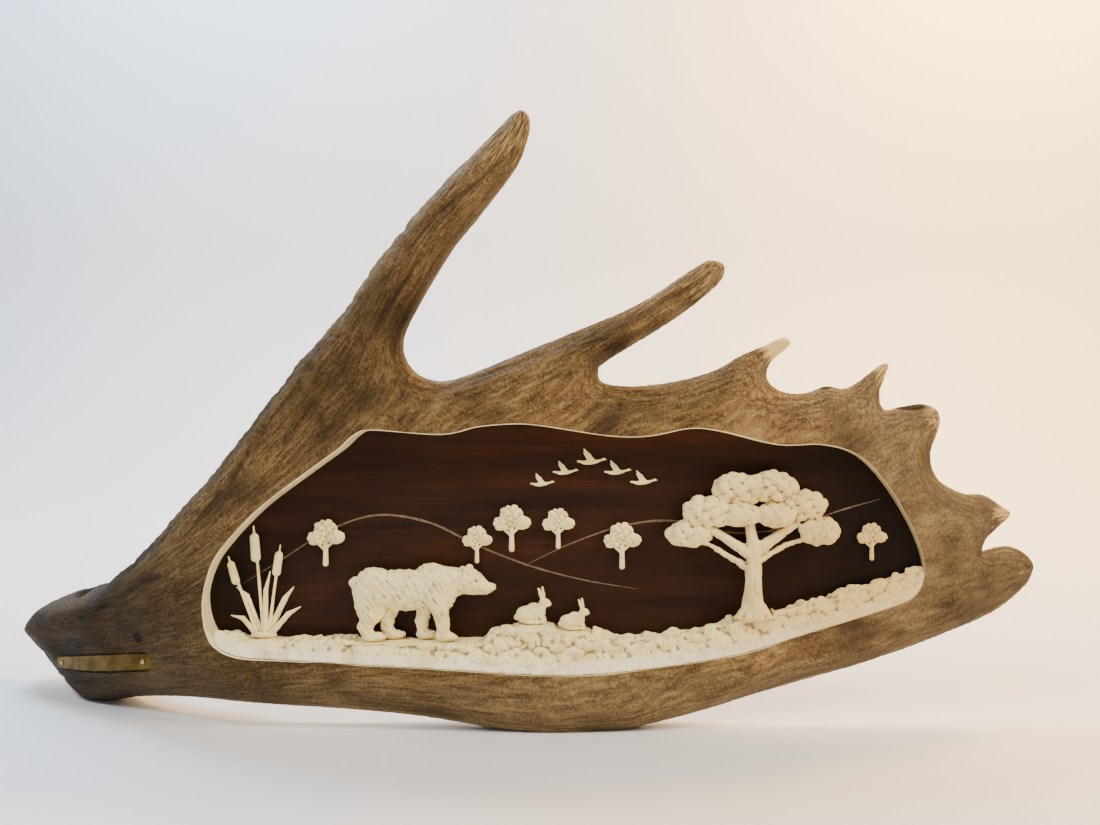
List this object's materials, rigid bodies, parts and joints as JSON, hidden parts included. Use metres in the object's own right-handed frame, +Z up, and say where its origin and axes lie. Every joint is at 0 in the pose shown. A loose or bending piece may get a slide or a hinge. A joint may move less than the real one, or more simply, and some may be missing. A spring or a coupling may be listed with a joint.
{
  "type": "carved moose antler",
  "caption": "Moose antler standing on its lower edge, a window cut through its palm, with a dark wood back panel and pale carved wildlife scenery in it.",
  "frame": {"origin": "bottom centre of the object's box, on the surface it stands on", "axes": "+X from the sawn butt to the blunt end of the palm, -Y is the front that the carved scene faces, +Z up"},
  "size_m": [0.763, 0.1488, 0.426],
  "materials": {
    "antler": "weathered brown antler bone, waxed, paler at worn tips",
    "stained_wood": "dark red-brown stained wood, satin",
    "carved_bone": "cut and sanded cream antler bone, satin",
    "brass_plate": "dull aged brass sheet",
    "brass_pin": "rubbed brass"
  },
  "bodies": {
    "root": {"antler_palm": "antler", "long_tine": "antler", "second_tine": "antler", "back_panel": "stained_wood", "ground_bank": "carved_bone", "bear": "carved_bone", "hare_1": "carved_bone", "hare_2": "carved_bone", "oak_tree": "carved_bone", "cattail_clump": "carved_bone", "small_tree_1": "carved_bone", "small_tree_2": "carved_bone", "small_tree_3": "carved_bone", "small_tree_4": "carved_bone", "small_tree_5": "carved_bone", "small_tree_6": "carved_bone", "goose_1": "carved_bone", "goose_2": "carved_bone", "goose_3": "carved_bone", "goose_4": "carved_bone", "goose_5": "carved_bone", "brass_plate": "brass_plate", "plate_pin_1": "brass_pin", "plate_pin_2": "brass_pin"}
  },
  "joints": []
}
